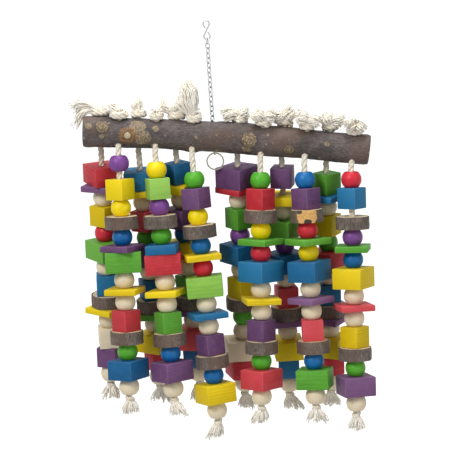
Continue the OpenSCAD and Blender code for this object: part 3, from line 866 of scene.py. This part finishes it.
def rope_up(i):
    """The rope in the log, the knot on top of it and its frayed end."""
    rng = random.Random(300 + i)
    low, high = bore_ends(i)
    up = (high - low).normalized()
    across = Vector((math.cos(LOG_TILT), 0, -math.sin(LOG_TILT)))
    lift = (high - on_log(STRINGS[i].place, 0, 0)).normalized()
    away = lift.cross(across).normalized()
    lay = Lay()
    twist_rope(lay, [low - up * 0.6, high + up * 2], start=i * 7.0)
    coil = []
    for k in range(45):
        t = k / 44
        a = 2 * math.pi * 2.1 * t + i * 0.7
        r = KNOT_R[i] if t < 0.8 else KNOT_R[i] * (1 - t) / 0.2 + 0.4
        coil.append(high + lift * (1.4 + 4.8 * t) + (across * math.cos(a) * 1.2 + away * math.sin(a)) * r)
    twist_rope(lay, coil, rope_r=2.9, pitch=14)
    knot = lay.make("knot_on_log_%02d" % (i + 1), cotton)
    lay = Lay()
    root = high + lift * 4.6
    fuller, clump_yarns = (1.25, 9) if i >= FIRST_FULL else (1, 4)
    for bunch, count in TUFTS[i]:
        points = [root + Vector(values[:3]) for values in bunch]
        line = smooth_line(points, 13)
        wide = [1.8] + [values[3] * fuller for values in bunch[1:]]
        widths = list(np.interp(np.linspace(0, 1, 13), np.linspace(0, 1, len(points)), wide))
        fray(lay, rng, line, widths, int(count * fuller), 0.62, 1.5)
    for clump in range(CLUMPS):
        a = 2 * math.pi * (clump + rng.uniform(-0.4, 0.4)) / CLUMPS
        far = rng.uniform(5, 8.5) * fuller
        out = Vector((math.cos(a) * far, math.sin(a) * 5 - 1.5, rng.uniform(-1, 4.5)))
        line = smooth_line([root, root + out * 0.55 + Vector((0, 0, 3)), root + out], 9)
        fray(lay, rng, line, [1, 1.2, 1.5, 1.7, 1.9, 2.1, 2.2, 2.3, 2.3], clump_yarns, 0.55, 0.9)
    fluff = lay.make("frayed_end_%02d" % (i + 1), frayed)
    for obj in (knot, fluff):
        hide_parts("rope_knots")
        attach(obj, "log")


# The log

# Knots in the bark: place along the log, turn from the top to the front in degrees, radius, height, kind
KNOTS = [
    (-83, 92, 4.2, 1.6, "stub"), (-108, 62, 6.0, 1.3, "swirl"), (-108, 98, 2.6, 0.4, "patch"),
    (-121, 60, 3.4, 0.3, "patch"), (-68, 100, 8.0, 0.7, "patch"), (-74, 58, 8.5, 0.4, "patch"),
    (-56, 62, 3.5, 0.3, "patch"), (-46, 88, 1.7, 0.3, "patch"), (-16, 88, 2.0, 0.3, "patch"),
    (35, 84, 7.0, 1.2, "swirl"), (33, 118, 5.0, 0.5, "patch"), (74, 110, 4.5, 0.9, "swirl"),
    (-18, 165, 8.0, 1.5, "lump"), (5, 148, 4.0, 0.8, "swirl"), (120, 250, 6, 1.0, "swirl"),
    (-40, 260, 5, 0.9, "swirl"), (110, 75, 3.0, 0.3, "patch")]


# Kinds of knot whose place the bark material reads, and the distance that stands for none near
MARKS = ("stub", "swirl", "patch")
NONE_NEAR = 9.0


def bark_lift(s, a):
    """How far the bark stands out at a place along and round the log, and how near each kind of knot is."""
    lift = 0.5 * math.sin(s * 0.037 + 0.6) + 0.3 * math.sin(s * 0.093 + a) + 0.22 * math.sin(3 * a + s * 0.05)
    lift += 0.12 * math.sin(s * 0.31 + 5 * a) + 0.08 * math.sin(s * 0.73 - 8 * a)
    near = dict.fromkeys(MARKS, NONE_NEAR)
    for knot_s, turn, size, height, kind in KNOTS:
        round_it = (a - math.radians(turn) + math.pi) % (2 * math.pi) - math.pi
        d = math.hypot(s - knot_s, round_it * LOG_R) / size
        if kind in near:
            near[kind] = min(near[kind], d)
        if kind == "stub":
            lift += height * max(0, min(1, (1 - d) / 0.2)) + 1.0 * math.exp(-((d - 1.5) / 0.4) ** 2)
        elif kind == "swirl":
            lift += height * math.exp(-d ** 2) * (1 + 0.35 * math.cos(d * size * 2.6))
        else:
            lift += height * math.exp(-d ** 2)
    # The ring has rubbed the bark down round the lower mouth of the chain's bore
    rubbed = min(1, (18 - math.hypot(s, (math.pi - abs(a)) * LOG_R)) / 6)
    if rubbed > 0:
        lift = lift * (1 - rubbed) + min(lift, -0.15) * rubbed
    end = min(s + LOG_LEFT, LOG_RIGHT - s)
    if end < 2:
        lift -= 0.9 * (1 - end / 2) ** 2
    return lift, near


def barked_log():
    """The bowed branch with its knots, sawn stub, bores and sawn ends."""
    span = (LOG_LEFT + LOG_RIGHT) * MM
    clear_selection()
    bpy.ops.mesh.primitive_cylinder_add(vertices=96, radius=LOG_R * MM, depth=span, end_fill_type="NGON")
    log = bpy.context.object
    corners = log.data.vertices

    def runs_along(edge):
        a, b = edge.vertices
        return abs(corners[a].co.z - corners[b].co.z) > span * 0.9

    pick(log, "edge", runs_along)
    bpy.ops.mesh.subdivide(number_cuts=159)
    bpy.ops.object.mode_set(mode="OBJECT")
    pick(log, "face", lambda f: abs(f.normal.z) > 0.9)
    bpy.ops.mesh.inset(thickness=0.0012, depth=0)
    bpy.ops.mesh.inset(thickness=0.0005, depth=0)
    bpy.ops.object.mode_set(mode="OBJECT")
    log.data.materials.append(log_bark)
    log.data.materials.append(end_grain)
    for f in log.data.polygons:
        sawn = abs(f.normal.z) > 0.9 and math.hypot(*f.center.xy) < 0.012 and f.area > 1e-4
        f.material_index = 1 if sawn else 0
    nearness = {kind: [] for kind in MARKS}
    local = []
    for v in log.data.vertices:
        x, y, z = v.co / MM
        s = z + (LOG_RIGHT - LOG_LEFT) / 2
        a = math.atan2(-y, x)
        lift, near = bark_lift(s, a)
        r = math.hypot(x, y) * (1 + lift / LOG_R)
        across, up = -r * math.sin(a), r * math.cos(a)
        local.append((s * MM, across * MM, up * MM))
        for kind in MARKS:
            nearness[kind].append(near[kind])
        v.co = on_log(s, across, up) * MM
    paint(log, "grain_at", "FLOAT_VECTOR", local)
    for kind in MARKS:
        paint(log, kind + "_near", "FLOAT", nearness[kind])
    log.matrix_world = Matrix.Identity(4)
    bores = [(*bore_ends(i), BORE_R) for i in range(len(STRINGS))]
    bores.append((on_log(0, 0, -LOG_R), on_log(0, 0, LOG_R), CHAIN_BORE_R))
    cutters = []
    for low, high, r in bores:
        clear_selection()
        bpy.ops.mesh.primitive_cylinder_add(vertices=24, radius=r * MM, depth=0.06)
        bit = bpy.context.object
        turn = (high - low).to_track_quat("Z", "Y").to_matrix().to_4x4()
        bit.matrix_world = Matrix.Translation((low + high) / 2 * MM) @ turn
        keep_place(bit)
        cutters.append(bit)
    cutter = join(cutters, "bores")
    apply_modifier(log, "BOOLEAN", operation="DIFFERENCE", object=cutter, solver="EXACT")
    bpy.data.objects.remove(cutter)
    smooth(log, 40)
    log.name = "barked_log"
    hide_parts("log")
    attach(log, "log")


# The threaded pieces

# The slice that has lost its bark in front: its string and its place on it
BARED = (9, 2)


# Where the sawn faces of a slice meet its rim of bark
SLICE_RIM_R = 0.0149


def thread_pieces():
    """Copies the finished pieces onto their strings, each with its own mesh, grain and shade of dye."""
    masters = {kind: sawn_piece(kind) for kind in SAWN}
    masters["bead"] = turned_bead()
    slices = [branch_slice(40 + k) for k in range(4)]
    rng = random.Random(12)
    for i, string in enumerate(STRINGS):
        point, turn, _ = string_frame(i)
        depth = string.top
        threaded = {"beads": [], "blocks": []}
        for k, text in enumerate(string.pieces):
            kind, dye, degrees = text.split()
            low = -depth - HEIGHTS[kind]
            depth += HEIGHTS[kind] + STACK_GAP
            if kind == "bare":
                continue
            master = slices[(i * 2 + k) % 4] if kind == "slice" else masters[kind]
            piece = master.copy()
            piece.data = master.data.copy()
            bpy.context.scene.collection.objects.link(piece)
            local = corner_places(piece)
            shift = np.array([rng.uniform(-1, 1), rng.uniform(0.02, 0.09), rng.uniform(-0.05, 0.05)])
            if kind == "slice":
                shift = np.array([0, rng.uniform(-0.002, 0.002), rng.uniform(-0.002, 0.002)])
                shift *= (i, k) != BARED
            if kind in ("bead", "slice"):
                local = local[:, [2, 0, 1]]
            paint(piece, "grain_at", "FLOAT_VECTOR", local + shift)
            fade = 0
            if kind != "slice":
                fade = rng.choice((0.0, 0.08, 0.18, 0.35, 0.6)) * (0.4 if kind == "bead" else 1)
            paint(piece, "fade", "FLOAT", [fade] * len(local))
            piece.data.materials.clear()
            if kind == "slice":
                for mark in MARKS:
                    paint(piece, mark + "_near", "FLOAT", [NONE_NEAR] * len(local))
                piece.data.materials.append(bared_bark if (i, k) == BARED else slice_bark)
                piece.data.materials.append(end_grain)
                for f in piece.data.polygons:
                    f.material_index = 1 if math.hypot(*f.center.xy) < SLICE_RIM_R else 0
            else:
                piece.data.materials.append((bead_dyes if kind == "bead" else sawn_dyes)[dye])
            spin = float(degrees) if kind != "bead" and kind != "slice" else rng.uniform(0, 360)
            if (i, k) == BARED:
                spin = 0
            own = Matrix.Translation(Vector((0, 0, low))) @ Matrix.Rotation(math.radians(spin), 4, "Z")
            place = Matrix.Translation(point) @ turn @ own
            place.translation *= MM
            piece.data.transform(place)
            piece.matrix_world = Matrix.Identity(4)
            threaded["beads" if kind == "bead" else "blocks"].append(piece)
        for node, made in threaded.items():
            obj = join(made, "%s_on_string_%02d" % (node, i + 1))
            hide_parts("%s_%02d" % (node, i + 1))
            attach(obj, "string_%02d" % (i + 1))
    for master in (*masters.values(), *slices):
        bpy.data.objects.remove(master)


barked_log()
thread_pieces()
for i in range(len(STRINGS)):
    rope_down(i)
    rope_up(i)
for name, node in frame["nodes"].items():
    if name.startswith("chain") or name in ("hook", "split_ring"):
        node.data.materials.clear()
        node.data.materials.append(ring_steel if name == "split_ring" else nickel)

# Floor, light and background

clear_selection()
bpy.ops.mesh.primitive_plane_add(size=120, location=(0, 0, -0.85))
floor = bpy.context.object
floor.name = "floor"
white, tree, shader = new_material("pale_floor", 0.9, 0.1)
shader.inputs["Base Color"].default_value = (0.55, 0.55, 0.55, 1)
rays = add(tree, "ShaderNodeLightPath")
shader.inputs["Emission Color"].default_value = (1, 1, 1, 1)
seen = maths(tree, "MAXIMUM", rays.outputs["Is Camera Ray"], rays.outputs["Is Glossy Ray"])
link(tree, times(tree, seen, 0.85), shader.inputs["Emission Strength"])
floor.data.materials.append(white)

world = bpy.data.worlds.new("soft_white")
bpy.context.scene.world = world
world.use_nodes = True
tree = world.node_tree
back = tree.nodes["Background"]
back.inputs["Color"].default_value = (1, 1, 1, 1)
rays = add(tree, "ShaderNodeLightPath")
seen = maths(tree, "MAXIMUM", rays.outputs["Is Glossy Ray"], rays.outputs["Is Transmission Ray"])
seen = maths(tree, "MAXIMUM", rays.outputs["Is Camera Ray"], seen)
link(tree, maths(tree, "MULTIPLY_ADD", seen, 0.57, 0.43), back.inputs["Strength"])


def soft_light(name, place, aim, size, power):
    clear_selection()
    bpy.ops.object.light_add(type="AREA", location=place)
    lamp = bpy.context.object
    lamp.name = name
    lamp.data.shape = "DISK"
    lamp.data.size = size
    lamp.data.energy = power
    lamp.rotation_euler = (Vector(aim) - Vector(place)).to_track_quat("-Z", "Y").to_euler()


soft_light("key_light", (-1.0, -1.5, 1.2), (0, 0, -0.2), 0.8, 30)
soft_light("fill_light", (1.3, -1.5, 0.2), (0, 0, -0.25), 1.2, 7)
soft_light("top_light", (0.1, -0.1, 1.3), (0, 0, -0.2), 0.8, 17)

bpy.context.scene.view_settings.view_transform = "Standard"
